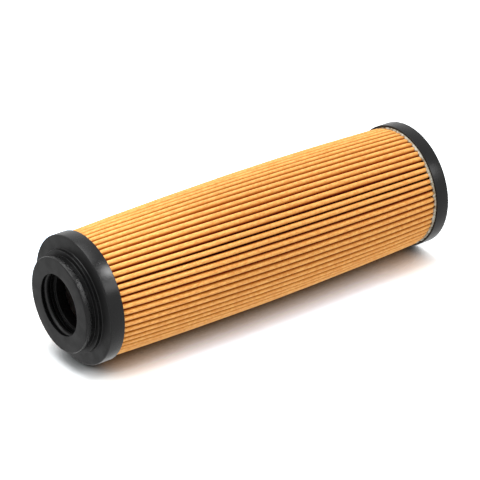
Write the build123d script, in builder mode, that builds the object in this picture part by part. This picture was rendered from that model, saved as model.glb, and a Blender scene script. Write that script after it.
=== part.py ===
"""Pleated paper return-line filter element for a hydraulic tank.

Oil flows inwards through a star-folded paper pack, through the perforated core
tube and out of the bore in the open end cap, which seals on a spigot with an
O-ring.  The element stands on its closed end cap: Z is its axis, the origin is
the centre of the closed cap's underside, and every size is in millimetres.
"""

import os
from math import asin, atan2, cos, hypot, pi, radians, sin

from build123d import *

# ---- Heights, from the closed end upwards -----------------------------------
closed_cap_height = 8.4
exposed_media_length = 206.6
open_cap_rim_height = 8.6
step_ring_height = 2.4
neck_height = 2.5
flange_height = 3.6

# ---- Moulded end caps -------------------------------------------------------
cap_radius = 35.0
cap_skirt_wall = 1.0
cap_plate = 2.2
cap_edge_radius = 0.8
skirt_lip_radius = 0.3
step_root_radius = 0.5
collar_wall = 4.78
groove_depth = 1.0
flange_setback = 1.8
flange_edge_radius = 0.7
small_edge_break = 0.25
underside_recess_radius = 22.0
underside_recess_depth = 0.8
gate_dimple_radius = 2.6
gate_dimple_depth = 0.5

# ---- Bore and its O-ring ----------------------------------------------------
passage_radius = 15.2
bore_shoulder_width = 1.5
bore_mouth_chamfer = 0.4
bore_lip_height = 1.8
bore_land_height = 2.0
gland_depth = 3.32
gland_side_clearance = 0.35
o_ring_section = 3.5
o_ring_seat_clearance = 0.02
passage_shoulder_chamfer = 0.6

# ---- Perforated core tube ---------------------------------------------------
core_wall = 0.6
core_fit = 0.1
spigot_wall = 2.3
spigot_height = 3.0
perforation_radius = 3.5
perforation_end_margin = 9.0
perforation_row_spacing = 16.5
perforations_per_row = 6

# ---- Pleated paper ----------------------------------------------------------
pleat_count = 60
paper_thickness = 0.55
pleat_tip_radius = 1.4
pleat_root_radius = 0.8
media_skirt_clearance = 0.5
media_core_clearance = 0.15
seam_angle = 75.0
seam_bead_depth = 4.0

# ---- Potting compound -------------------------------------------------------
potting_bed = 1.2
potting_wall_height = 4.2
potting_fit = 0.05

# ---- Levels and radii that follow from the sizes above -----------------------
open_skirt_edge = closed_cap_height + exposed_media_length
open_shoulder = open_skirt_edge + open_cap_rim_height
step_face = open_shoulder + step_ring_height
neck_top = step_face + neck_height
top_face = neck_top + flange_height

closed_floor = cap_plate
open_floor = open_shoulder - cap_plate
skirt_inner_radius = cap_radius - cap_skirt_wall
spigot_radius = passage_radius + spigot_wall
core_inner_radius = spigot_radius + core_fit
core_outer_radius = core_inner_radius + core_wall

bore_radius = passage_radius + bore_shoulder_width
gland_top = top_face - bore_lip_height
gland_bottom = gland_top - o_ring_section - 2 * gland_side_clearance
gland_radius = bore_radius + gland_depth
bore_shoulder = gland_bottom - bore_land_height

neck_radius = gland_radius + collar_wall
flange_radius = neck_radius + groove_depth
step_ring_radius = flange_radius + flange_setback

media_base = closed_floor + potting_bed
media_top = open_floor - potting_bed
media_outer_radius = skirt_inner_radius - media_skirt_clearance
media_inner_radius = core_outer_radius + media_core_clearance


def make_open_end_cap():
    """Cup for the pack, with a stepped collar and the O-ring bore on top."""
    with BuildPart() as cap:
        with BuildSketch(Plane.XZ):
            with BuildLine():
                Polyline(
                    (skirt_inner_radius, open_skirt_edge),
                    (cap_radius, open_skirt_edge),
                    (cap_radius, open_shoulder),
                    (step_ring_radius, open_shoulder),
                    (step_ring_radius, step_face),
                    (neck_radius, step_face),
                    (neck_radius, neck_top),
                    (flange_radius, neck_top),
                    (flange_radius, top_face),
                    (bore_radius, top_face),
                    (bore_radius, gland_top),
                    (gland_radius, gland_top),
                    (gland_radius, gland_bottom),
                    (bore_radius, gland_bottom),
                    (bore_radius, bore_shoulder),
                    (passage_radius, bore_shoulder),
                    (passage_radius, open_floor - spigot_height),
                    (spigot_radius, open_floor - spigot_height),
                    (spigot_radius, open_floor),
                    (skirt_inner_radius, open_floor),
                    close=True,
                )
            make_face()
        revolve(axis=Axis.Z)

        fillet(rings(cap, cap_radius, open_shoulder), cap_edge_radius)
        fillet(rings(cap, step_ring_radius, open_shoulder), step_root_radius)
        fillet(rings(cap, flange_radius, top_face), flange_edge_radius)
        chamfer(rings(cap, bore_radius, top_face), bore_mouth_chamfer)
        chamfer(rings(cap, passage_radius, bore_shoulder), passage_shoulder_chamfer)
        chamfer(
            rings(cap, step_ring_radius, step_face)
            + rings(cap, flange_radius, neck_top)
            + rings(cap, spigot_radius, open_floor - spigot_height),
            small_edge_break,
        )
        fillet(rings(cap, cap_radius, open_skirt_edge), skirt_lip_radius)
    cap.part.label = "open_end_cap"
    return cap.part


def make_closed_end_cap():
    """Blank cup for the other end, with a spigot that centres the core tube."""
    with BuildPart() as cap:
        with BuildSketch(Plane.XZ):
            with BuildLine():
                Polyline(
                    (0, closed_floor),
                    (passage_radius, closed_floor),
                    (passage_radius, closed_floor + spigot_height),
                    (spigot_radius, closed_floor + spigot_height),
                    (spigot_radius, closed_floor),
                    (skirt_inner_radius, closed_floor),
                    (skirt_inner_radius, closed_cap_height),
                    (cap_radius, closed_cap_height),
                    (cap_radius, 0),
                    (underside_recess_radius, 0),
                    (underside_recess_radius, underside_recess_depth),
                    (gate_dimple_radius, underside_recess_depth),
                    (gate_dimple_radius, underside_recess_depth + gate_dimple_depth),
                    (0, underside_recess_depth + gate_dimple_depth),
                    close=True,
                )
            make_face()
        revolve(axis=Axis.Z)

        fillet(rings(cap, cap_radius, 0), cap_edge_radius)
        fillet(rings(cap, cap_radius, closed_cap_height), skirt_lip_radius)
        chamfer(
            rings(cap, spigot_radius, closed_floor + spigot_height)
            + rings(cap, underside_recess_radius, 0),
            small_edge_break,
        )
    cap.part.label = "closed_end_cap"
    return cap.part


def rings(turned, radius, height):
    """The round edges of a turned part at one radius and one height."""
    found = turned.edges().filter_by(GeomType.CIRCLE)
    return found.filter_by(
        lambda edge: abs(edge.radius - radius) < 1e-4
        and abs(edge.arc_center.Z - height) < 1e-4
    )


def make_o_ring():
    """Seal ring lying against the outer wall of its gland."""
    centre_radius = gland_radius - o_ring_seat_clearance - o_ring_section / 2
    with BuildPart() as ring:
        with BuildSketch(Plane.XZ):
            with Locations((centre_radius, (gland_top + gland_bottom) / 2)):
                Circle(o_ring_section / 2)
        revolve(axis=Axis.Z)
    ring.part.label = "bore_o_ring"
    return ring.part


def perforation_planes():
    """Planes that look outwards at each hole, rows offset by half a pitch."""
    first = closed_floor + perforation_end_margin
    room = open_floor - closed_floor - 2 * perforation_end_margin
    rows = int(room // perforation_row_spacing) + 1
    pitch = 360 / perforations_per_row
    lowest = first + (room - (rows - 1) * perforation_row_spacing) / 2
    planes = []
    for row in range(rows):
        height = lowest + row * perforation_row_spacing
        for hole in range(perforations_per_row):
            angle = radians((hole + 0.5 * (row % 2)) * pitch)
            outwards = Vector(cos(angle), sin(angle), 0)
            centre = outwards * (core_inner_radius + core_wall / 2)
            planes.append(
                Plane(origin=(centre.X, centre.Y, height), z_dir=outwards)
            )
    return planes


def make_core_tube():
    """Perforated steel tube that stops the pleats from collapsing inwards."""
    with BuildPart() as tube:
        with BuildSketch(Plane.XY.offset(closed_floor)):
            Circle(core_outer_radius)
            Circle(core_inner_radius, mode=Mode.SUBTRACT)
        extrude(amount=open_floor - closed_floor)
        with Locations(*perforation_planes()):
            Cylinder(perforation_radius, 6 * core_wall, mode=Mode.SUBTRACT)
    tube.part.label = "perforated_core_tube"
    return tube.part


# ---- The folded sheet -------------------------------------------------------
# Each pleat has a round tip near the skirt and shares a round root with each
# neighbour near the core.  A leg is the straight run that is tangent to both,
# with the tip on one side of it and the root on the other.
pleat_pitch = 2 * pi / pleat_count
tip_centre_radius = media_outer_radius - pleat_tip_radius
root_centre_radius = media_inner_radius + pleat_root_radius


def polar(radius, angle):
    """Point at a radius and an angle in radians."""
    return Vector(radius * cos(angle), radius * sin(angle))


def leg_normal():
    """Angle of the normal of a pleat's left leg, for a tip that lies on +X."""
    tip = polar(tip_centre_radius, 0)
    root = polar(root_centre_radius, pleat_pitch / 2)
    run = root - tip
    bends = (pleat_tip_radius + pleat_root_radius - paper_thickness) / hypot(run.X, run.Y)
    return atan2(run.Y, run.X) + asin(bends) - pi / 2


def pleat_points(index, dirty_side):
    """Ends and middles of one pleat's tip and of the root to its left.

    The dirty side is the sheet's outer face; the clean side faces the core.
    """
    middle = radians(seam_angle) + index * pleat_pitch
    tip = polar(tip_centre_radius, middle)
    next_root = middle + pleat_pitch / 2
    root = polar(root_centre_radius, next_root)
    normal = leg_normal()
    tip_radius = pleat_tip_radius - (0 if dirty_side else paper_thickness)
    root_radius = pleat_root_radius - (paper_thickness if dirty_side else 0)
    return {
        "tip_right": tip + polar(tip_radius, middle - normal),
        "tip_top": tip + polar(tip_radius, middle),
        "tip_left": tip + polar(tip_radius, middle + normal),
        "root_right": root - polar(root_radius, middle + normal),
        "root_bottom": root - polar(root_radius, next_root),
        "root_left": root - polar(root_radius, middle + pleat_pitch - normal),
    }


def make_pleated_media():
    """One sheet folded into a star, its two free edges meeting at the seam."""
    dirty = [pleat_points(i, True) for i in range(pleat_count)]
    clean = [pleat_points(i, False) for i in range(pleat_count)]
    with BuildPart() as media:
        with BuildSketch(Plane.XY.offset(media_base)):
            with BuildLine():
                for side in (dirty, clean):
                    for i, pleat in enumerate(side):
                        following = side[(i + 1) % pleat_count]
                        if i > 0:
                            ThreePointArc(
                                pleat["tip_right"], pleat["tip_top"], pleat["tip_left"]
                            )
                        Line(pleat["tip_left"], pleat["root_right"])
                        ThreePointArc(
                            pleat["root_right"], pleat["root_bottom"], pleat["root_left"]
                        )
                        Line(pleat["root_left"], following["tip_right"])
                Line(dirty[0]["tip_left"], clean[0]["tip_left"])
                Line(dirty[0]["tip_right"], clean[0]["tip_right"])
            make_face()
        extrude(amount=media_top - media_base)
    media.part.label = "pleated_media"
    return media.part


def make_seam_bead():
    """Adhesive that fills the tip where the sheet's two free edges meet."""
    outer = pleat_points(0, True)
    inner = pleat_points(0, False)
    left_down = (inner["root_right"] - inner["tip_left"]).normalized()
    last_root_left = pleat_points(-1, False)["root_left"]
    right_down = (last_root_left - inner["tip_right"]).normalized()
    with BuildPart() as bead:
        with BuildSketch(Plane.XY.offset(media_base)):
            with BuildLine():
                ThreePointArc(outer["tip_right"], outer["tip_top"], outer["tip_left"])
                Polyline(
                    outer["tip_left"],
                    inner["tip_left"],
                    inner["tip_left"] + left_down * seam_bead_depth,
                    inner["tip_right"] + right_down * seam_bead_depth,
                    inner["tip_right"],
                    outer["tip_right"],
                )
            make_face()
        extrude(amount=media_top - media_base)
    bead.part.label = "seam_bead"
    return bead.part


def make_potting(floor, upwards, label):
    """Bed that the pleat ends are set in, with a wall up inside the skirt."""
    bed_inner = core_outer_radius + potting_fit
    wall_outer = skirt_inner_radius
    wall_inner = media_outer_radius + potting_fit
    bed = floor + upwards * potting_bed
    wall = bed + upwards * potting_wall_height
    with BuildPart() as potting:
        with BuildSketch(Plane.XZ):
            with BuildLine():
                Polyline(
                    (bed_inner, floor),
                    (wall_outer, floor),
                    (wall_outer, wall),
                    (wall_inner, wall),
                    (wall_inner, bed),
                    (bed_inner, bed),
                    close=True,
                )
            make_face()
        revolve(axis=Axis.Z)
    potting.part.label = label
    return potting.part


pieces = [
    make_open_end_cap(),
    make_closed_end_cap(),
    make_o_ring(),
    make_core_tube(),
    make_pleated_media(),
    make_seam_bead(),
    make_potting(closed_floor, 1, "closed_end_potting"),
    make_potting(open_floor, -1, "open_end_potting"),
]

os.makedirs("parts", exist_ok=True)
for piece in pieces:
    export_step(piece, f"parts/{piece.label}.step")
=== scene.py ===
"""Looks of a pleated paper filter element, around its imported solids.

Laid out as an add-on with one operator for each piece, and run as a script.
Sizes are in metres in the row frame: Z is the element's axis, and the blank
end cap's underside lies at Z = 0.
"""

from math import asin, atan2, cos, hypot, pi, radians, sin

import bmesh
import bpy
from bpy.props import FloatProperty, FloatVectorProperty, IntProperty, PointerProperty
from mathutils import Matrix, Vector, noise


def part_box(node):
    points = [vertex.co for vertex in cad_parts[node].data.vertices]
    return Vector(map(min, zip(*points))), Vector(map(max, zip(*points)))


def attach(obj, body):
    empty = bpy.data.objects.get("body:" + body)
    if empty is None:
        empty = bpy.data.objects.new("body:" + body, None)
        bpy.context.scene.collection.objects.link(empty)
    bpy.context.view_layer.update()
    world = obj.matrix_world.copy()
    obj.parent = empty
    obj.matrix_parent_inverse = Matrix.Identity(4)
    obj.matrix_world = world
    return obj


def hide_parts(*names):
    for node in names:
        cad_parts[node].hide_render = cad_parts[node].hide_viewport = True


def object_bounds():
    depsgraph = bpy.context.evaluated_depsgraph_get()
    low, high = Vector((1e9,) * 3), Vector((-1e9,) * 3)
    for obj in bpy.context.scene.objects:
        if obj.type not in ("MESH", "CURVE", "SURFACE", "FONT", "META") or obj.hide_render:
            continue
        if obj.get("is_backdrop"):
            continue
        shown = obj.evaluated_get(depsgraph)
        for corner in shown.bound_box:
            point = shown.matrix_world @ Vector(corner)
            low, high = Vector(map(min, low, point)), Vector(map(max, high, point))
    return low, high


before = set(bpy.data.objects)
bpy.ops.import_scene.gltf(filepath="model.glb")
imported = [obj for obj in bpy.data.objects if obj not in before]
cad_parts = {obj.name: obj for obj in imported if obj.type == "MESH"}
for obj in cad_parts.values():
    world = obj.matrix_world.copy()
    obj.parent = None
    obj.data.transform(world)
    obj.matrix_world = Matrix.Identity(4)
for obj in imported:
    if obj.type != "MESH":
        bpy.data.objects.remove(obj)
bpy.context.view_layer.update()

bl_info = {
    "name": "Pleated filter element",
    "version": (1, 0, 0),
    "blender": (4, 5, 0),
    "location": "3D View > Sidebar > Filter",
    "description": "Builds the looks of a pleated filter element around its solids",
    "category": "Object",
}

MM = 0.001

# ---- Levels that come from the solids ---------------------------------------
OPEN_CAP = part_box("open_end_cap")
CLOSED_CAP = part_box("closed_end_cap")
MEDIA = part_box("pleated_media")
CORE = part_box("perforated_core_tube")
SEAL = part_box("bore_o_ring")
CAP_RADIUS = OPEN_CAP[1].x
CLOSED_EDGE = CLOSED_CAP[1].z
OPEN_EDGE = OPEN_CAP[0].z
CLOSED_FLOOR = CORE[0].z
OPEN_FLOOR = CORE[1].z
CORE_RADIUS = CORE[1].x

# ---- Fits, angles and names that no user changes ----------------------------
PACK_ON_CORE = 0.15 * MM  # gap between the folds' roots and the core tube
CORE_ON_SPIGOT = 0.7 * MM  # the core tube's wall and its fit on a spigot
GLAND_SIDE = 0.35 * MM  # gap at each side of the O-ring
FLANGE_WALL = 3.4 * MM  # height of the flange's glossier side
SEAM_ANGLE = radians(75.0)
SEAM_DEPTH = 4.0 * MM  # how far the glue runs down the legs of its fold
FOLD_CREASE = radians(50)
GLUE_CREASE = radians(80)
SAME_POINT = 1e-7  # points this close are one
NYLON = "moulded_nylon"
DEPTH = "fold_depth"


def size(name, description, value, low=0.0):
    """A length in metres that the panel shows."""
    kind = {"subtype": "DISTANCE", "unit": "LENGTH"}
    return FloatProperty(name=name, description=description, default=value, min=low, **kind)


def angle_setting(name, description, value):
    """An angle that the panel shows."""
    kind = {"subtype": "ANGLE", "unit": "ROTATION"}
    return FloatProperty(name=name, description=description, default=value, **kind)


def level_setting(name, description, value):
    """The power of a lamp, or the level of the sky, that the panel shows."""
    return FloatProperty(name=name, description=description, default=value, min=0.0)


def count_setting(name, description, value, low, high):
    """A whole number that the panel shows."""
    return IntProperty(name=name, description=description, default=value, min=low, max=high)


def colour(name, description, value):
    """A linear colour that the panel shows."""
    kind = {"subtype": "COLOR", "size": 3, "min": 0.0, "max": 1.0}
    return FloatVectorProperty(name=name, description=description, default=value, **kind)


class PackSizes(bpy.types.PropertyGroup):
    """The folded paper pack."""

    pleat_count: count_setting("Pleats", "Folds around the pack", 60, 12, 120)
    paper: size("Paper", "Thickness of the sheet", 0.55 * MM)
    tip_radius: size("Tip radius", "Outer radius of a fold near the skirt", 1.2 * MM)
    root_radius: size("Root radius", "Outer radius of a fold near the core", 0.8 * MM)
    outer_radius: size("Pack radius", "Radius of the tips inside the caps", 33.45 * MM)
    bow: size("Bow", "How far the tips swell out halfway along", 2.3 * MM)
    pinch: size("Pinch", "How far the tips dip where the adhesive grips them", 1.25 * MM)
    lean: angle_setting("Lean", "Turn of the pleats from end to end", radians(10.6))
    unevenness: size("Unevenness", "How far a tip strays from its even place", 0.3 * MM)
    rows: count_setting("Rows", "Mesh rows along the pack", 44, 8, 80)
    seed: count_setting("Seed", "Seed of the uneven tips", 4, 0, 1000)


class Finishes(bpy.types.PropertyGroup):
    """Colours of the materials."""

    paper: colour("Paper", "Resin-treated filter paper", (0.95, 0.46, 0.118))
    nylon: colour("Nylon", "Black moulded end caps", (0.0042, 0.0042, 0.0044))
    rubber: colour("Rubber", "Seal ring", (0.006, 0.006, 0.006))
    adhesive: colour("Adhesive", "Cream potting compound", (0.56, 0.53, 0.44))
    zinc: colour("Zinc", "Plated core tube", (0.3, 0.295, 0.28))


class StageSizes(bpy.types.PropertyGroup):
    """Floor, lamps and camera."""

    floor: colour("Floor", "Pale floor", (0.9, 0.9, 0.9))
    lamp_power: level_setting("Lamp power", "Watts of the main soft box", 6.9)
    side_power: level_setting("Side power", "Watts of the soft box at the side", 1.5)
    accent_power: level_setting("Accent power", "Watts of the small box at the open cap", 0.01)
    sky: level_setting("Sky", "Level of the plain light all round", 0.67)


# ---- Shader and geometry nodes from Python expressions ----------------------
class Value:
    """A node's output that the usual operators work on."""

    def __init__(self, web, socket):
        self.web = web
        self.socket = socket

    def _math(self, operation, *values):
        sockets = {f"i{n}": value for n, value in enumerate(values)}
        return self.web.node("ShaderNodeMath", {"operation": operation}, **sockets)

    def __add__(self, other):
        return self._math("ADD", self, other)

    def __radd__(self, other):
        return self._math("ADD", other, self)

    def __sub__(self, other):
        return self._math("SUBTRACT", self, other)

    def __rsub__(self, other):
        return self._math("SUBTRACT", other, self)

    def __mul__(self, other):
        return self._math("MULTIPLY", self, other)

    def __rmul__(self, other):
        return self._math("MULTIPLY", other, self)

    def __truediv__(self, other):
        return self._math("DIVIDE", self, other)

    def __rtruediv__(self, other):
        return self._math("DIVIDE", other, self)

    def __pow__(self, other):
        return self._math("POWER", self, other)

    def __abs__(self):
        return self._math("ABSOLUTE", self)

    def __gt__(self, other):
        return self._math("GREATER_THAN", self, other)

    def __lt__(self, other):
        return self._math("LESS_THAN", self, other)

    def call(self, operation, *values):
        """Any other operation of the Math node, such as SINE or ROUND."""
        return self._math(operation, self, *values)

    def clamped(self):
        """The value held between 0 and 1."""
        return self._math("MINIMUM", self._math("MAXIMUM", self, 0.0), 1.0)

    def smooth(self, low, high):
        """A smooth step from 0 at low to 1 at high."""
        t = ((self - low) / (high - low)).clamped()
        return t * t * (3.0 - 2.0 * t)


class Web:
    """A node tree, the method that adds a node to it, and short forms for a few nodes."""

    def __init__(self, tree):
        self.tree = tree

    def give(self, socket, value):
        """Sets a socket, or links it where the value comes from another node."""
        if isinstance(value, Value):
            self.tree.links.new(value.socket, socket)
        else:
            socket.default_value = value

    def mix(self, factor, first, second):
        """A colour between two others."""
        return self.node("ShaderNodeMix", {"data_type": "RGBA"}, 2, i0=factor, i6=first, i7=second)

    def part(self, axis, vector):
        """The X, Y or Z of a vector."""
        return self.node("ShaderNodeSeparateXYZ", output=axis, Vector=vector)

    def vector(self, x, y, z):
        """A vector from three values or numbers."""
        return self.node("ShaderNodeCombineXYZ", X=x, Y=y, Z=z)

    def node(self, kind, settings=None, output=0, **inputs):
        """Adds a node: its settings first, then the values or links of its sockets.

        An input is given by its name with underscores, or by i and its place, and
        the output by its name or its place.
        """
        made = self.tree.nodes.new(kind)
        for name, value in (settings or {}).items():
            setattr(made, name, value)
        for name, value in inputs.items():
            if name[0] == "i" and name[1:].isdigit():
                socket = made.inputs[int(name[1:])]
            else:
                socket = made.inputs[name.replace("_", " ")]
            self.give(socket, value)
        if not made.outputs:
            return made
        return Value(self, made.outputs[output])


class Finish(Web):
    """A material whose Principled shader is filled in by its maker."""

    def __init__(self, name):
        material = bpy.data.materials.new(name)
        material.use_nodes = True
        super().__init__(material.node_tree)
        self.material = material
        self.shader = material.node_tree.nodes["Principled BSDF"]
        self.place = self.node("ShaderNodeTexCoord", output="Object")

    def noise(self, scale, detail=3.0, stretch=(1.0, 1.0, 1.0)):
        """Cloudy value from 0 to 1 on Object coordinates, with scale per metre."""
        place = self.node("ShaderNodeMapping", Vector=self.place, Scale=stretch)
        return self.node("ShaderNodeTexNoise", Vector=place, Scale=scale, Detail=detail)

    def bump(self, height, distance, strength=1.0, under=None):
        """A bumped normal from a height in units of distance."""
        extra = {"Normal": under} if under else {}
        return self.node(
            "ShaderNodeBump", Height=height, Distance=distance, Strength=strength, **extra
        )

    def fill(self, **sockets):
        """Sets or links sockets of the Principled shader."""
        for name, value in sockets.items():
            self.give(self.shader.inputs[name.replace("_", " ")], value)
        return self.material


def rgba(values, scale=1.0):
    """A linear colour with its alpha, lighter or darker by scale."""
    return (*(min(1.0, v * scale) for v in values), 1.0)


def toned(tint, red, green, blue):
    """A linear colour whose three channels are scaled one by one."""
    return (tint[0] * red, tint[1] * green, tint[2] * blue)


# ---- Finishes ---------------------------------------------------------------
def paper_finish(tint):
    """Resin-treated paper: faint clouds, brown fibres, pale specks, and painted shade that darkens
    and reddens it down the folds.
    """
    f = Finish("pleated_paper")
    clouds = f.noise(90.0, 2.0)
    fibres = f.noise(900.0, 4.0, (1.0, 1.0, 0.45))
    specks = f.noise(2600.0, 2.0)
    depth = f.node("ShaderNodeAttribute", {"attribute_name": DEPTH}, 2)
    brown = rgba(toned(tint, 0.82, 0.66, 0.45))
    pale = rgba(toned(tint, 1.06, 1.18, 1.7))
    # painted shade: the next two colours stand for the folds' sides and depths where the folds
    # shade each other
    painted_flank_shade = rgba(toned(tint, 0.6, 0.44, 0.15))
    painted_fold_shade = rgba(toned(tint, 0.5, 0.1, 0.03))
    base = f.mix(clouds.smooth(0.35, 0.7), rgba(tint, 1.02), rgba(tint, 1.12))
    base = f.mix(fibres.smooth(0.38, 0.62) * 0.8, base, brown)
    base = f.mix(specks.smooth(0.48, 0.66) * 0.7, base, pale)
    # painted shade, darker and redder the further a point lies down its fold
    base = f.mix(depth.smooth(0.05 * MM, 1.15 * MM), base, painted_flank_shade)
    base = f.mix(depth.smooth(0.8 * MM, 2.6 * MM), base, painted_fold_shade)
    relief = f.bump(fibres + specks * 0.5, 0.12 * MM, 0.8)
    return f.fill(
        Base_Color=base,
        Roughness=0.55 + fibres * 0.15 + depth.smooth(0.0, 1.5 * MM) * 0.4,
        Specular_IOR_Level=0.3,
        Normal=relief,
    )


def nylon_finish(tint):
    """Black moulded nylon: grained end faces, rippled walls and a glossier flange."""
    f = Finish(NYLON)
    normal = f.node("ShaderNodeTexCoord", output="Normal")
    face = abs(f.part("Z", normal)).smooth(0.6, 0.95)
    grain = f.noise(2400.0, 3.0)
    scuffs = f.noise(140.0, 3.0, (1.0, 1.0, 0.6))
    ripple = f.noise(55.0, 1.0, (1.0, 1.0, 0.5))
    base = f.mix(grain.smooth(0.4, 0.8), rgba(tint, 0.85), rgba(tint, 1.5))
    flange = (f.part("Z", f.place) > OPEN_CAP[1].z - FLANGE_WALL) * (1.0 - face)
    rough = 0.2 + scuffs.smooth(0.35, 0.75) * 0.12 + face * 0.25 - flange * 0.1 + grain * 0.05
    chatter = f.noise(900.0, 3.0) * flange * 6.0
    waves = f.bump(ripple * (1.0 - 0.8 * face), 1.0 * MM, 0.4)
    relief = f.bump(grain + chatter, 0.05 * MM, 0.6, waves)
    return f.fill(Base_Color=base, Roughness=rough, Specular_IOR_Level=0.28, Normal=relief)


def rubber_finish(tint):
    """Nitrile rubber with a thin film of oil."""
    f = Finish("nitrile_rubber")
    bloom = f.noise(300.0, 3.0)
    base = f.mix(bloom, rgba(tint, 0.8), rgba(tint, 1.4))
    return f.fill(
        Base_Color=base,
        Roughness=0.38 + bloom * 0.2,
        Normal=f.bump(f.noise(1800.0), 0.02 * MM, 0.5),
    )


def adhesive_finish(tint):
    """Cream potting compound that set lumpy and took some dirt."""
    f = Finish("potting_cream")
    lumps = f.noise(420.0, 3.0)
    dirt = f.noise(550.0, 2.0)
    soiled = rgba(toned(tint, 0.55, 0.5, 0.4))
    return f.fill(
        Base_Color=f.mix(dirt.smooth(0.42, 0.66), rgba(tint), soiled),
        Roughness=0.45 + lumps * 0.25,
        Normal=f.bump(lumps + dirt * 0.3, 0.3 * MM, 0.6),
    )


def seam_finish(tint):
    """Amber side-seam adhesive, a little shinier than the paper."""
    f = Finish("seam_amber")
    runs = f.noise(260.0, 2.0, (1.0, 1.0, 0.2))
    warm = toned(tint, 0.8, 0.42, 0.18)
    return f.fill(
        Base_Color=f.mix(runs, rgba(warm, 0.8), rgba(warm, 1.1)),
        Roughness=0.4 + runs * 0.2,
        Normal=f.bump(runs, 0.2 * MM, 0.5),
    )


def zinc_finish(tint):
    """Zinc-plated sheet with a drawn grain along the tube."""
    f = Finish("plated_steel")
    drawn = f.noise(1600.0, 2.0, (1.0, 1.0, 0.03))
    spangle = f.noise(160.0, 2.0)
    return f.fill(
        Base_Color=f.mix(spangle, rgba(tint, 0.8), rgba(tint, 1.1)),
        Metallic=0.9 + spangle * 0.1,
        Roughness=0.32 + drawn * 0.2,
        Normal=f.bump(drawn, 0.02 * MM, 0.4),
    )


# ---- Mesh helpers -----------------------------------------------------------
def rounded(points, steps=6):
    """A closed outline of (r, z, corner radius) points, with arcs at its corners."""
    outline = []
    count = len(points)
    for i, (r, z, radius) in enumerate(points):
        here = Vector((r, z))
        if radius <= 0:
            outline.append(here)
            continue
        back = (Vector(points[i - 1][:2]) - here).normalized()
        ahead = (Vector(points[(i + 1) % count][:2]) - here).normalized()
        half = back.angle(ahead) / 2
        centre = here + (back + ahead).normalized() * radius / sin(half)
        start = here + back * radius * cos(half) / sin(half) - centre
        end = here + ahead * radius * cos(half) / sin(half) - centre
        sweep = start.angle(end)
        for step in range(steps + 1):
            t = step / steps
            outline.append(
                centre + (start * sin((1 - t) * sweep) + end * sin(t * sweep)) / sin(sweep)
            )
    return outline


def finished(name, mesh, material, node_names, crease=radians(35)):
    """Names, shades and hands over a piece that stands for CAD nodes."""
    mesh.materials.clear()
    mesh.materials.append(material)
    mesh.shade_smooth()
    mesh.set_sharp_from_angle(angle=crease)
    piece = bpy.data.objects.new(name, mesh)
    bpy.context.scene.collection.objects.link(piece)
    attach(piece, "root")
    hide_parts(*node_names)


def closed_mesh(name, shape):
    """The mesh of a closed shape, with its faces pointing outwards."""
    bmesh.ops.recalc_face_normals(shape, faces=shape.faces)
    mesh = bpy.data.meshes.new(name)
    shape.to_mesh(mesh)
    shape.free()
    return mesh


def turned(name, outline, segments=256):
    """Mesh of a closed outline turned about Z. Points may lie on the axis."""
    shape = bmesh.new()
    rings = []
    for radius, height in outline:
        if radius < SAME_POINT:
            rings.append([shape.verts.new((0.0, 0.0, height))] * segments)
            continue
        turns = [2 * pi * s / segments for s in range(segments)]
        rings.append([shape.verts.new((radius * cos(t), radius * sin(t), height)) for t in turns])
    for low, high in zip(rings, rings[1:] + rings[:1]):
        for s in range(segments):
            t = (s + 1) % segments
            corners = list(dict.fromkeys((low[s], low[t], high[t], high[s])))
            if len(corners) > 2:
                shape.faces.new(corners)
    return closed_mesh(name, shape)


# ---- The folded paper pack --------------------------------------------------
def polar(radius, angle):
    """Point at a radius and an angle."""
    return Vector((radius * cos(angle), radius * sin(angle)))


class Fold:
    """Shape of one pleat, its tip on +X and half a root at each side."""

    def __init__(self, sizes):
        self.pitch = 2 * pi / sizes.pleat_count
        self.paper = sizes.paper
        self.tip_radius = sizes.tip_radius
        self.root_radius = sizes.root_radius
        self.tip = polar(sizes.outer_radius - sizes.tip_radius, 0)
        self.root = polar(CORE_RADIUS + PACK_ON_CORE + sizes.root_radius, self.pitch / 2)
        run = self.root - self.tip
        bends = (sizes.tip_radius + sizes.root_radius - sizes.paper) / hypot(run.x, run.y)
        self.normal = atan2(run.y, run.x) + asin(bends) - pi / 2

    def tip_arc(self, dirty, steps):
        """Points over the tip, from its right side to its left."""
        radius = self.tip_radius - (0 if dirty else self.paper)
        return [
            self.tip + polar(radius, self.normal * (2 * s / steps - 1)) for s in range(steps + 1)
        ]

    def valley(self, dirty, leg_steps, root_steps):
        """Points from the tip's left side round the root to the next tip's right."""
        radius = self.root_radius - (self.paper if dirty else 0)
        half = self.pitch / 2 - self.normal
        arc = [
            self.root - polar(radius, self.pitch / 2 - half * (1 - 2 * s / root_steps))
            for s in range(root_steps + 1)
        ]
        turn = Matrix.Rotation(self.pitch, 2)
        start = self.tip_arc(dirty, 2)[2]
        end = turn @ self.tip_arc(dirty, 2)[0]
        down = [start.lerp(arc[0], s / leg_steps) for s in range(leg_steps)]
        up = [arc[-1].lerp(end, s / leg_steps) for s in range(1, leg_steps + 1)]
        return down + arc + up


# Kinds of points on an outline, and how close they join.
VALLEY, TIP, STRIP_EDGE = 0, 1, 2
WELD = 1e-6

# How the pack is rowed, bowed, pinched and leaned.
CROWDING = 0.65  # share of the rows' spacing that crowds towards the ends
STILL_ROOT = 1.2 * MM  # roots this close to the core tube stay where they are
OPEN_END_PINCH = 0.35  # pinch at the open end, as a share of the blank end's
GRIPPED = 4.2 * MM  # distance from an end up to which the tips dip in full
LET_GO = 7.6 * MM  # distance from which they are free
STEADY_LEAN = 0.585  # share of the lean that grows evenly with height
LEAN_OFFSET = 0.557  # share of the lean that is taken off everywhere

# Steps through the noise that keep pleats and seeds apart.
PLEAT_STEP = 7.31
SEED_STEP = 3.7


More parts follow.
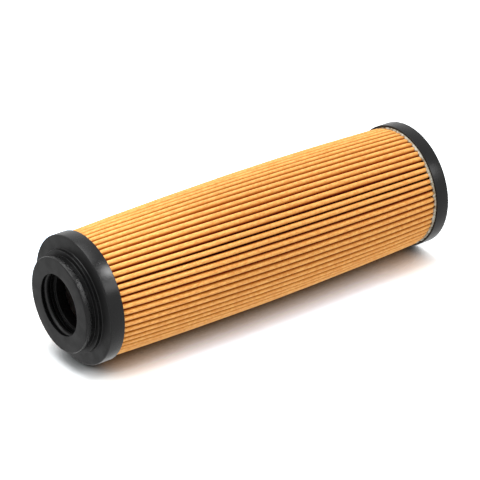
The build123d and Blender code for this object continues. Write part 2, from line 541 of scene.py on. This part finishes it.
def marked_outline(name, points, edges, kinds):
    """Loose edges of an outline, each point marked with its kind."""
    mesh = bpy.data.meshes.new(name)
    mesh.from_pydata([(p.x, p.y, 0.0) for p in points], edges, [])
    mark = mesh.attributes.new("kind", "INT", "POINT")
    mark.data.foreach_set("value", kinds)
    return mesh


def fold_outline(fold):
    """One pleat's valley, its tip and the edges that close the strip at the seam."""
    chains = [
        (VALLEY, fold.valley(True, 3, 4)),
        (VALLEY, fold.valley(False, 2, 6)),
        (TIP, fold.tip_arc(True, 10)),
        (TIP, fold.tip_arc(False, 6)),
    ]
    for side in (0, -1):
        chains.append((STRIP_EDGE, [fold.tip_arc(True, 2)[side], fold.tip_arc(False, 2)[side]]))
    points, edges, kinds = [], [], []
    for kind, chain in chains:
        first = len(points)
        points += chain
        edges += [(first + n, first + n + 1) for n in range(len(chain) - 1)]
        kinds += [kind] * len(chain)
    return marked_outline("fold_outline", points, edges, kinds)


def seam_outline(fold, depth):
    """Closed outline of the glue in the tip where the strip's edges meet."""
    over = fold.tip_arc(True, 10)
    under = fold.tip_arc(False, 2)
    leg = (fold.valley(False, 2, 6)[3] - under[2]).normalized() * depth
    points = over + [under[2], under[2] + leg, under[0] + Vector((leg.x, -leg.y)), under[0]]
    count = len(points)
    edges = [(n, (n + 1) % count) for n in range(count)]
    return marked_outline("seam_outline", points, edges, [VALLEY] * count)


def pack_tree():
    """Geometry nodes that repeat an outline round the axis, sweep and bend it."""
    tree = bpy.data.node_groups.new("folded_pack", "GeometryNodeTree")
    face = tree.interface
    face.new_socket("Geometry", in_out="INPUT", socket_type="NodeSocketGeometry")
    for name, kind in (
        ("Copies", "NodeSocketInt"),
        ("Pleat Count", "NodeSocketInt"),
        ("Rows", "NodeSocketInt"),
        ("Start", "NodeSocketFloat"),
        ("Height", "NodeSocketFloat"),
        ("Inner Radius", "NodeSocketFloat"),
        ("Outer Radius", "NodeSocketFloat"),
        ("Seam Angle", "NodeSocketFloat"),
        ("Bow", "NodeSocketFloat"),
        ("Pinch", "NodeSocketFloat"),
        ("Lean", "NodeSocketFloat"),
        ("Unevenness", "NodeSocketFloat"),
        ("Seed", "NodeSocketInt"),
        ("Material", "NodeSocketMaterial"),
    ):
        face.new_socket(name, in_out="INPUT", socket_type=kind)
    face.new_socket("Geometry", in_out="OUTPUT", socket_type="NodeSocketGeometry")
    web = Web(tree)
    source = tree.nodes.new("NodeGroupInput")
    given = {socket.name: Value(web, socket) for socket in source.outputs if socket.name}

    outline = repeated_outline(web, given)
    spine = uneven_rows(web, given)
    swept = web.node("GeometryNodeCurveToMesh", Curve=spine, Profile_Curve=outline, Fill_Caps=True)
    bent = bent_pack(web, given, swept)
    whole = web.node("GeometryNodeRealizeInstances", Geometry=bent)
    done = web.node("GeometryNodeSetMaterial", Geometry=whole, Material=given["Material"])
    web.node("NodeGroupOutput", Geometry=done)
    return tree


def repeated_outline(web, given):
    """Copies of one pleat's outline, joined into a closed strip with one seam."""
    index = web.node("GeometryNodeInputIndex")
    points = web.node("GeometryNodePoints", Count=given["Copies"])
    turn = index / given["Pleat Count"] * (2 * pi) + given["Seam Angle"]
    copies = web.node(
        "GeometryNodeInstanceOnPoints",
        Points=points,
        Instance=given["Geometry"],
        Rotation=web.node("FunctionNodeEulerToRotation", Euler=web.vector(0.0, 0.0, turn)),
    )
    numbered = web.node(
        "GeometryNodeStoreNamedAttribute",
        {"data_type": "INT", "domain": "INSTANCE"},
        Geometry=copies,
        Name="copy",
        Value=index,
    )
    loose = web.node("GeometryNodeRealizeInstances", Geometry=numbered)
    kind = web.node("GeometryNodeInputNamedAttribute", {"data_type": "INT"}, Name="kind")
    copy = web.node("GeometryNodeInputNamedAttribute", {"data_type": "INT"}, Name="copy")
    is_first = copy < 0.5
    is_tip = (kind > TIP - 0.5) * (kind < TIP + 0.5)
    is_edge = kind > STRIP_EDGE - 0.5
    surplus = is_first * is_tip + (1.0 - is_first) * is_edge
    kept = web.node(
        "GeometryNodeDeleteGeometry", {"domain": "POINT"}, Geometry=loose, Selection=surplus
    )
    joined = web.node("GeometryNodeMergeByDistance", Geometry=kept, Distance=WELD)
    return web.node("GeometryNodeMeshToCurve", Mesh=joined)


def uneven_rows(web, given):
    """A line up the axis with rows that crowd towards its ends."""
    line = web.node("GeometryNodeCurvePrimitiveLine", Start=(0.0, 0.0, 0.0), End=(0.0, 0.0, 1.0))
    rows = web.node("GeometryNodeResampleCurve", Curve=line, Count=given["Rows"])
    along = web.part("Z", web.node("GeometryNodeInputPosition"))
    crowded = 0.5 - 0.5 * (along * pi).call("COSINE")
    height = given["Start"] + given["Height"] * (along * (1 - CROWDING) + crowded * CROWDING)
    place = web.vector(0.0, 0.0, height)
    return web.node("GeometryNodeSetPosition", Geometry=rows, Position=place)


def bent_pack(web, given, pack):
    """Bow, lean and small irregularities of the tips. Roots stay on the core."""
    place = web.node("GeometryNodeInputPosition")
    x, y, z = (web.part(axis, place) for axis in "XYZ")
    radius = (x * x + y * y).call("SQRT")
    angle = y.call("ARCTAN2", x)
    inner, outer = given["Inner Radius"], given["Outer Radius"]
    outwards = ((radius - inner) / (outer - inner)).clamped()
    h = ((z - given["Start"]) / given["Height"]).clamped()
    pleat = ((angle - given["Seam Angle"]) / (2 * pi / given["Pleat Count"])).call("ROUND")
    pleat = pleat.call("WRAP", 0.0, given["Pleat Count"])

    free = (h * pi).call("SINE").clamped()
    bow = given["Bow"] * free**0.8
    from_end = h.call("MINIMUM", 1.0 - h) * given["Height"]
    grip = OPEN_END_PINCH + (1 - OPEN_END_PINCH) * (h < 0.5)
    dip = given["Pinch"] * grip * (1.0 - from_end.smooth(GRIPPED, LET_GO))

    def stray(offset, rate):
        """Wave from -1 to 1 along a pleat, with rate in waves per metre."""
        spot = web.vector(pleat * PLEAT_STEP + offset, z * rate, given["Seed"] * SEED_STEP)
        wave = web.node("ShaderNodeTexNoise", Vector=spot, Scale=1.0, Detail=2.0)
        return (wave - 0.5) * 2.0

    loose = given["Unevenness"] * free**0.35 * outwards
    push = outwards * (bow - dip) + loose * (stray(0.0, 9.0) * 1.4 + stray(31.0, 60.0) * 0.5)
    slide = loose * (stray(57.0, 7.0) * 1.9 + stray(91.0, 70.0) * 0.4)
    lean = given["Lean"] * (h * STEADY_LEAN + h * h * (1 - STEADY_LEAN) - LEAN_OFFSET)
    new_radius = radius + push
    new_angle = angle + lean + slide / radius
    new_x = new_radius * new_angle.call("COSINE")
    new_y = new_radius * new_angle.call("SINE")
    moved = web.vector(new_x, new_y, z)
    marked = web.node(
        "GeometryNodeStoreNamedAttribute",
        {"data_type": "FLOAT", "domain": "POINT"},
        Geometry=pack,
        Name=DEPTH,
        Value=outer - radius,
    )
    return web.node("GeometryNodeSetPosition", Geometry=marked, Position=moved)


def swept_mesh(outline, tree, settings, name):
    """The plain mesh that the pack's nodes make of an outline."""
    carrier = bpy.data.objects.new(name + "_outline", outline)
    bpy.context.scene.collection.objects.link(carrier)
    modifier = carrier.modifiers.new("pack", "NODES")
    modifier.node_group = tree
    for item in tree.interface.items_tree:
        if item.in_out == "INPUT" and item.name in settings:
            modifier[item.identifier] = settings[item.name]
    graph = bpy.context.evaluated_depsgraph_get()
    graph.update()
    mesh = bpy.data.meshes.new_from_object(carrier.evaluated_get(graph), depsgraph=graph)
    bpy.data.objects.remove(carrier)
    shape = bmesh.new()
    shape.from_mesh(mesh)
    bmesh.ops.remove_doubles(shape, verts=shape.verts, dist=SAME_POINT)
    bmesh.ops.recalc_face_normals(shape, faces=shape.faces)
    shape.to_mesh(mesh)
    shape.free()
    for left_over in ("kind", "copy"):
        if left_over in mesh.attributes:
            mesh.attributes.remove(mesh.attributes[left_over])
    mesh.name = name
    return mesh


def pack_settings(sizes, material, copies):
    """Inputs of the pack's nodes."""
    return {
        "Copies": copies,
        "Pleat Count": sizes.pleat_count,
        "Rows": sizes.rows,
        "Start": MEDIA[0].z,
        "Height": MEDIA[1].z - MEDIA[0].z,
        "Inner Radius": CORE_RADIUS + STILL_ROOT,
        "Outer Radius": sizes.outer_radius,
        "Seam Angle": SEAM_ANGLE,
        "Bow": sizes.bow,
        "Pinch": sizes.pinch,
        "Lean": sizes.lean,
        "Unevenness": sizes.unevenness,
        "Seed": sizes.seed,
        "Material": material,
    }


class AddPaperPack(bpy.types.Operator):
    """Folds the paper strip and bows and leans it as a real pack settles"""

    bl_idname = "filter.add_paper_pack"
    bl_label = "Paper pack"

    def execute(self, context):
        sizes = context.scene.filter_pack
        material = paper_finish(context.scene.filter_finishes.paper)
        settings = pack_settings(sizes, material, sizes.pleat_count)
        mesh = swept_mesh(fold_outline(Fold(sizes)), pack_tree(), settings, "paper_pack")
        finished("paper_pack", mesh, material, ["pleated_media"], FOLD_CREASE)
        return {"FINISHED"}


class AddSeamGlue(bpy.types.Operator):
    """Fills the fold where the two edges of the strip are bonded"""

    bl_idname = "filter.add_seam_glue"
    bl_label = "Seam glue"

    def execute(self, context):
        sizes = context.scene.filter_pack
        material = seam_finish(context.scene.filter_finishes.adhesive)
        settings = pack_settings(sizes, material, 1)
        outline = seam_outline(Fold(sizes), SEAM_DEPTH)
        mesh = swept_mesh(outline, pack_tree(), settings, "seam_glue")
        finished("seam_glue", mesh, material, ["seam_bead"], FOLD_CREASE)
        return {"FINISHED"}


# ---- Caps and seal ----------------------------------------------------------
# Edge breaks and small details of the mouldings.
CRISP = 0.12 * MM
GROOVE_ROOT = 0.15 * MM
FINE = 0.2 * MM
BROKEN = 0.25 * MM
EASED = 0.3 * MM
BORE_MOUTH = 0.35 * MM
FILLET = 0.5 * MM
GATE_RADIUS = 2.6 * MM
GATE_DEPTH = 0.5 * MM
PARTING_FLASH = 0.04 * MM  # how far the O-ring's parting line stands proud
RING_STEPS = 40  # points round the O-ring's section


class CapSizes(bpy.types.PropertyGroup):
    """Moulded end caps."""

    skirt_wall: size("Skirt wall", "Wall of the skirt round the pack", 1.0 * MM)
    plate: size("Plate", "Thickness of a cap's end wall", 2.2 * MM)
    edge_radius: size("Edge radius", "Rounding of the outer rim", 0.8 * MM)
    lip_radius: size("Lip radius", "Rounding of the skirt's free edge", 0.3 * MM)
    step_radius: size("Step radius", "Radius of the step ring", 27.6 * MM)
    step_height: size("Step height", "Height of the step ring", 2.4 * MM)
    neck_radius: size("Neck radius", "Radius at the groove's floor", 24.8 * MM)
    neck_height: size("Neck height", "Width of the groove", 2.5 * MM)
    flange_radius: size("Flange radius", "Radius of the end flange", 25.8 * MM)
    flange_edge: size("Flange edge", "Rounding of the flange's front edge", 0.7 * MM)
    bore_radius: size("Bore radius", "Radius of the sealed bore", 16.7 * MM)
    bore_lip: size("Bore lip", "Length of the wall in front of the O-ring", 1.8 * MM)
    bore_land: size("Bore land", "Length of the wall behind the O-ring", 2.0 * MM)
    gland_depth: size("Gland depth", "Depth of the O-ring's gland", 3.32 * MM)
    passage_radius: size("Passage radius", "Radius behind the bore's shoulder", 15.2 * MM)
    spigot_height: size("Spigot height", "How far a cap reaches into the core", 3.0 * MM)
    recess_radius: size("Recess radius", "Recess in the blank cap's underside", 22.0 * MM)
    recess_depth: size("Recess depth", "Depth of that recess", 0.8 * MM)


def cap_nylon(context):
    """The nylon that both caps share."""
    return bpy.data.materials.get(NYLON) or nylon_finish(context.scene.filter_finishes.nylon)


class AddOpenCap(bpy.types.Operator):
    """Turns the flanged cap with its bore and gland"""

    bl_idname = "filter.add_open_cap"
    bl_label = "Open end cap"

    def execute(self, context):
        s = context.scene.filter_caps
        top = OPEN_CAP[1].z
        gland_top, gland_bottom = SEAL[1].z + GLAND_SIDE, SEAL[0].z - GLAND_SIDE
        shoulder = gland_bottom - s.bore_land
        rim_top = OPEN_FLOOR + s.plate
        step_top = rim_top + s.step_height
        neck_top = step_top + s.neck_height
        inner = CAP_RADIUS - s.skirt_wall
        spigot = CORE_RADIUS - CORE_ON_SPIGOT
        gland = s.bore_radius + s.gland_depth
        outline = rounded(
            [
                (inner, OPEN_EDGE, BROKEN),
                (CAP_RADIUS, OPEN_EDGE, s.lip_radius),
                (CAP_RADIUS, rim_top, s.edge_radius),
                (s.step_radius, rim_top, FILLET),
                (s.step_radius, step_top, EASED),
                (s.neck_radius, step_top, BROKEN),
                (s.neck_radius, neck_top, GROOVE_ROOT),
                (s.flange_radius, neck_top, BROKEN),
                (s.flange_radius, top, s.flange_edge),
                (s.bore_radius, top, BORE_MOUTH),
                (s.bore_radius, gland_top, CRISP),
                (gland, gland_top, FINE),
                (gland, gland_bottom, FINE),
                (s.bore_radius, gland_bottom, CRISP),
                (s.bore_radius, shoulder, FINE),
                (s.passage_radius, shoulder, FILLET),
                (s.passage_radius, OPEN_FLOOR - s.spigot_height, FINE),
                (spigot, OPEN_FLOOR - s.spigot_height, BROKEN),
                (spigot, OPEN_FLOOR, 0),
                (inner, OPEN_FLOOR, 0),
            ]
        )
        mesh = turned("open_cap", outline)
        finished("open_cap", mesh, cap_nylon(context), ["open_end_cap"])
        return {"FINISHED"}


class AddClosedCap(bpy.types.Operator):
    """Turns the blank cap that the element stands on"""

    bl_idname = "filter.add_closed_cap"
    bl_label = "Closed end cap"

    def execute(self, context):
        s = context.scene.filter_caps
        inner = CAP_RADIUS - s.skirt_wall
        spigot = CORE_RADIUS - CORE_ON_SPIGOT
        gate_top = s.recess_depth + GATE_DEPTH
        outline = rounded(
            [
                (0, CLOSED_FLOOR, 0),
                (s.passage_radius, CLOSED_FLOOR, EASED),
                (s.passage_radius, CLOSED_FLOOR + s.spigot_height, FINE),
                (spigot, CLOSED_FLOOR + s.spigot_height, BROKEN),
                (spigot, CLOSED_FLOOR, 0),
                (inner, CLOSED_FLOOR, 0),
                (inner, CLOSED_EDGE, BROKEN),
                (CAP_RADIUS, CLOSED_EDGE, s.lip_radius),
                (CAP_RADIUS, 0, s.edge_radius),
                (s.recess_radius, 0, BROKEN),
                (s.recess_radius, s.recess_depth, BROKEN),
                (GATE_RADIUS, s.recess_depth, FINE),
                (GATE_RADIUS, gate_top, FINE),
                (0, gate_top, 0),
            ]
        )
        mesh = turned("closed_cap", outline)
        finished("closed_cap", mesh, cap_nylon(context), ["closed_end_cap"])
        return {"FINISHED"}


class AddSealRing(bpy.types.Operator):
    """Moulds the O-ring with its faint parting line"""

    bl_idname = "filter.add_seal_ring"
    bl_label = "Seal ring"

    def execute(self, context):
        section = (SEAL[1].z - SEAL[0].z) / 2
        middle = Vector((SEAL[1].x - section, (SEAL[1].z + SEAL[0].z) / 2))
        outline = []
        for n in range(RING_STEPS):
            flash = PARTING_FLASH if n in (0, RING_STEPS // 2) else 0.0
            radius = section - PARTING_FLASH + flash
            outline.append(middle + polar(radius, 2 * pi * n / RING_STEPS))
        mesh = turned("seal_ring", outline)
        material = rubber_finish(context.scene.filter_finishes.rubber)
        finished("seal_ring", mesh, material, ["bore_o_ring"])
        return {"FINISHED"}


# ---- Potting ----------------------------------------------------------------
BED = -3.6 * MM  # level of the flat bed, from the cap's edge
GLUE_ON_CORE = 0.05 * MM
GLUE_FIT = 0.02 * MM
LEAST_SHRINK = 0.25 * MM  # how far the crest stands off the skirt at least
MORE_SHRINK = 0.9 * MM  # and how much more where it shrank most
LUMP_PHASE = 0.6  # turns the lumps a little past the middle of the valleys
RING_RATE = 2.2  # size of the noise's circle round the cap
CAP_RATE = 90  # keeps the two caps' noise apart


class PottingSizes(bpy.types.PropertyGroup):
    """Adhesive that holds the pleat ends in the caps."""

    rise: size("Rise", "Height above the blank cap's edge", 0.1 * MM, -3.0 * MM)
    open_rise: size("Open rise", "Height above the open cap's edge", -1.4 * MM, -3.0 * MM)
    tilt: size("Tilt", "How much higher it stands on the side that it ran to", 0.95 * MM)
    tilt_side: angle_setting("Tilt side", "Angle of the side that it ran to", radians(200.0))
    wander: size("Wander", "How unevenly it stands", 0.7 * MM)
    hollows: size("Hollows", "Depth of the places where it sank", 2.0 * MM)
    lumps: size("Lumps", "Height of the lumps between the tips", 0.5 * MM)
    segments: count_setting("Segments", "Mesh columns around", 960, 60, 2000)


def adhesive_level(sizes, pleats, angle, edge, rise):
    """Height of the adhesive's crest over a cap's edge, and its gap from the skirt."""
    spot = Vector((cos(angle) * RING_RATE, sin(angle) * RING_RATE, edge * CAP_RATE))

    def wave(rate, shift=(0, 0, 0)):
        """Noise from -1 to 1 round the cap, with rate in bumps and a shift for each use."""
        return noise.noise(spot * rate + Vector(shift))

    broad = wave(1.0) * 0.9 + wave(3.1) * 0.7
    between = 0.5 - 0.5 * cos(pleats * (angle - SEAM_ANGLE) + LUMP_PHASE)
    lump = between * (0.6 + 0.9 * wave(6.0, (0, 0, 5)))
    crest = rise + sizes.tilt * cos(angle - sizes.tilt_side)
    crest += sizes.wander * (broad + wave(14.0) * 1.2)
    crest += sizes.lumps * lump - sizes.hollows * max(0.0, wave(7.0, (0, 3, 0)))
    return crest, LEAST_SHRINK + MORE_SHRINK * max(0.0, wave(5.0, (9, 0, 0)))


def potting_mesh(name, sizes, pleats, floor, edge, rise, upwards):
    """An uneven bed of adhesive that climbs between the pleats and the skirt."""
    skirt = CAP_RADIUS - bpy.context.scene.filter_caps.skirt_wall
    lowest = floor - edge
    core = CORE_RADIUS + GLUE_ON_CORE
    shape = bmesh.new()
    columns = []
    for c in range(sizes.segments):
        angle = 2 * pi * c / sizes.segments
        crest, shrink = adhesive_level(sizes, pleats, angle, edge, rise)
        # radius, and height over the cap's edge, from the core out to the skirt
        profile = [
            (core, lowest),
            (core, BED),
            (27.0 * MM, -3.2 * MM),
            (30.5 * MM, -2.4 * MM),
            (31.4 * MM, crest * 0.6 - 1.2 * MM),
            (32.1 * MM, crest * 0.9 - 0.5 * MM),
            (32.6 * MM, crest * 0.98 - 0.1 * MM),
            (33.1 * MM, crest),
            (33.5 * MM, crest - 0.1 * MM),
            (skirt - shrink, crest - 0.35 * MM),
            (skirt - GLUE_FIT, crest - 1.1 * MM),
            (skirt - GLUE_FIT, BED),
            (skirt, lowest),
        ]
        heights = [edge + upwards * max(z, lowest) for _, z in profile]
        columns.append(
            [
                shape.verts.new((r * cos(angle), r * sin(angle), height))
                for (r, _), height in zip(profile, heights)
            ]
        )
    for left, right in zip(columns, columns[1:] + columns[:1]):
        for n in range(len(left)):
            m = (n + 1) % len(left)
            shape.faces.new((left[n], right[n], right[m], left[m]))
    return closed_mesh(name, shape)


class AddPotting(bpy.types.Operator):
    """Pours the cream adhesive into both caps"""

    bl_idname = "filter.add_potting"
    bl_label = "Potting"

    def execute(self, context):
        sizes = context.scene.filter_potting
        material = adhesive_finish(context.scene.filter_finishes.adhesive)
        pleats = context.scene.filter_pack.pleat_count
        # the open cap's adhesive is made the same way up, then mirrored at the skirt's edge
        mirrored_floor = OPEN_EDGE - (OPEN_FLOOR - OPEN_EDGE)
        for end, floor, edge, rise, upwards in (
            ("closed", CLOSED_FLOOR, CLOSED_EDGE, sizes.rise, 1),
            ("open", mirrored_floor, OPEN_EDGE, sizes.open_rise, -1),
        ):
            name = end + "_potting"
            mesh = potting_mesh(name, sizes, pleats, floor, edge, rise, upwards)
            finished(name, mesh, material, [end + "_end_potting"], GLUE_CREASE)
        return {"FINISHED"}


class DressCore(bpy.types.Operator):
    """Gives the perforated tube its plated finish"""

    bl_idname = "filter.dress_core"
    bl_label = "Core tube"

    def execute(self, context):
        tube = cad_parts["perforated_core_tube"]
        tube.data.materials.clear()
        tube.data.materials.append(zinc_finish(context.scene.filter_finishes.zinc))
        return {"FINISHED"}


# ---- Stage ------------------------------------------------------------------
# The element lies along the floor, which stands at its +Y side.
FLOOR_REACH = 1.6
# reach of the painted shadow on the floor
SHADE_REACH = 0.05  # how far the element darkens the floor round it
COOL_FADE = 0.06  # distance from each end where the floor's cool tint is full

# Soft boxes: place as seen from what they face, width and height.
KEY_BOX = ((0.2, -0.9, 0.1), 0.8, 0.8)
SIDE_BOX = ((-0.66, -0.5, -0.4), 0.25, 0.5)
ACCENT_BOX = ((-0.09, -0.145, -0.108), 0.045, 0.045)
ACCENT_SPREAD = radians(50)

CAMERA_PLACE = (-0.8922, -0.6001, 0.7820)
CAMERA_RIGHT = (-0.5976, 0.0, -0.8018)
CAMERA_UP = (0.3803, -0.8804, -0.2834)
LENS = 177.59
SENSOR = 36.0
FAR_CLIP = 20.0


def soft_box(name, box, aim, power):
    """A rectangular lamp that faces a point."""
    offset, width, height = box
    lamp = bpy.data.lights.new(name, "AREA")
    lamp.shape = "RECTANGLE"
    lamp.size, lamp.size_y = width, height
    lamp.energy = power
    holder = bpy.data.objects.new(name, lamp)
    holder.location = aim + Vector(offset)
    holder.rotation_euler = (aim - holder.location).to_track_quat("-Z", "Y").to_euler()
    bpy.context.scene.collection.objects.link(holder)
    return lamp


def floor_finish(tint):
    """Matte floor: pure white to the eye where it is lit, with a painted shadow close round the
    element, seen from one side only.
    """
    material = bpy.data.materials.new("floor")
    material.use_nodes = True
    web = Web(material.node_tree)
    material.node_tree.nodes.clear()
    rays = {"samples": 16}
    open_sky = web.node("ShaderNodeAmbientOcclusion", rays, "AO", Distance=SHADE_REACH)
    along = web.part("Z", web.node("ShaderNodeTexCoord", output="Object"))
    past_blank_end = along.smooth(CLOSED_EDGE, COOL_FADE)
    near_open_end = along.smooth(OPEN_EDGE - COOL_FADE, OPEN_EDGE)
    # a cooler tint under the paper keeps its warm reflection from colouring the shadow
    cool = (*toned(tint, 1.65, 1.95, 2.3), 1.0)
    plain = (*toned(tint, 1.65, 1.7, 1.72), 1.0)
    # colour of the painted shadow where the element hides the sky from the floor
    painted_shadow = (*toned(tint, 0.06, 0.06, 0.06), 1.0)
    white = web.mix(past_blank_end * (1.0 - near_open_end), plain, cool)
    # painted shadow: the floor's colour goes dark where ambient occlusion finds the element close
    floor_with_painted_shadow = web.mix(open_sky.smooth(0.05, 0.62), painted_shadow, white)
    lit = web.node("ShaderNodeBsdfDiffuse", Color=floor_with_painted_shadow)
    behind = web.node("ShaderNodeNewGeometry", output="Backfacing")
    clear = web.node("ShaderNodeBsdfTransparent")
    one_sided = web.node("ShaderNodeMixShader", i0=behind, i1=lit, i2=clear)
    web.node("ShaderNodeOutputMaterial", Surface=one_sided)
    return material


def world_light(strength):
    """Plain light all round, white where the camera or a reflection sees it."""
    world = bpy.data.worlds.new("studio")
    world.use_nodes = True
    world.node_tree.nodes.clear()
    web = Web(world.node_tree)
    camera, glossy, transmission = (
        web.node("ShaderNodeLightPath", output=f"Is {ray} Ray")
        for ray in ("Camera", "Glossy", "Transmission")
    )
    plain = (camera + glossy + transmission).clamped()
    # a little stronger from overhead, and from the floor that would send light back
    down = web.part("Y", web.node("ShaderNodeTexCoord", output="Generated"))
    level = plain + (1.0 - plain) * (0.95 + 0.2 * down + 0.6 * down * down) * strength
    back = web.node("ShaderNodeBackground", Color=(1.0, 1.0, 1.0, 1.0), Strength=level)
    web.node("ShaderNodeOutputWorld", Surface=back)
    bpy.context.scene.world = world


class AddStage(bpy.types.Operator):
    """Sets the pale floor that the element lies on, soft lamps and the camera"""

    bl_idname = "filter.add_stage"
    bl_label = "Stage"

    def execute(self, context):
        stage = context.scene.filter_stage
        mesh = bpy.data.meshes.new("floor")
        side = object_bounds()[1].y
        ways = ((-1, -1), (1, -1), (1, 1), (-1, 1))
        corners = [(x * FLOOR_REACH, side, z * FLOOR_REACH) for x, z in ways]
        mesh.from_pydata(corners, [], [(0, 1, 2, 3)])
        mesh.materials.append(floor_finish(stage.floor))
        floor = bpy.data.objects.new("floor", mesh)
        context.scene.collection.objects.link(floor)
        for ray in ("visible_diffuse", "visible_glossy", "visible_transmission", "visible_shadow"):
            setattr(floor, ray, False)
        floor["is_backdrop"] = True

        middle = Vector((0, 0, (CLOSED_CAP[0].z + OPEN_CAP[1].z) / 2))
        flange = Vector((0, 0, OPEN_CAP[1].z))
        soft_box("key_box", KEY_BOX, middle, stage.lamp_power)
        soft_box("accent_box", ACCENT_BOX, flange, stage.accent_power).spread = ACCENT_SPREAD
        soft_box("side_box", SIDE_BOX, middle, stage.side_power)
        world_light(stage.sky)

        camera = bpy.data.cameras.new("camera")
        camera.sensor_width = SENSOR
        camera.lens = LENS
        camera.clip_end = FAR_CLIP
        holder = bpy.data.objects.new("camera", camera)
        right, up = Vector(CAMERA_RIGHT), Vector(CAMERA_UP)
        facing = Matrix((right, up, right.cross(up))).transposed().to_4x4()
        holder.matrix_world = Matrix.Translation(CAMERA_PLACE) @ facing
        context.scene.collection.objects.link(holder)
        context.scene.camera = holder
        context.scene.view_settings.view_transform = "Standard"
        return {"FINISHED"}


OPERATORS = (
    AddPaperPack,
    AddSeamGlue,
    AddOpenCap,
    AddClosedCap,
    AddSealRing,
    AddPotting,
    DressCore,
    AddStage,
)
GROUPS = {
    "filter_pack": PackSizes,
    "filter_caps": CapSizes,
    "filter_potting": PottingSizes,
    "filter_finishes": Finishes,
    "filter_stage": StageSizes,
}


class FilterPanel(bpy.types.Panel):
    """Sizes and pieces of the filter element"""

    bl_idname = "VIEW3D_PT_filter_element"
    bl_label = "Filter element"
    bl_space_type = "VIEW_3D"
    bl_region_type = "UI"
    bl_category = "Filter"

    def draw(self, context):
        for name, group in GROUPS.items():
            box = self.layout.box()
            for prop in group.__annotations__:
                box.prop(getattr(context.scene, name), prop)
        for operator in OPERATORS:
            self.layout.operator(operator.bl_idname)


def register():
    """Makes the panel, its settings and its operators known."""
    for item in (*GROUPS.values(), *OPERATORS, FilterPanel):
        bpy.utils.register_class(item)
    for name, group in GROUPS.items():
        setattr(bpy.types.Scene, name, PointerProperty(type=group))


def unregister():
    """Takes them away again."""
    for name in GROUPS:
        delattr(bpy.types.Scene, name)
    for item in (FilterPanel, *reversed(OPERATORS), *GROUPS.values()):
        bpy.utils.unregister_class(item)


def main():
    """Builds every piece."""
    register()
    for operator in OPERATORS:
        family, name = operator.bl_idname.split(".")
        getattr(getattr(bpy.ops, family), name)()
    bpy.context.view_layer.update()


if __name__ == "__main__":
    main()
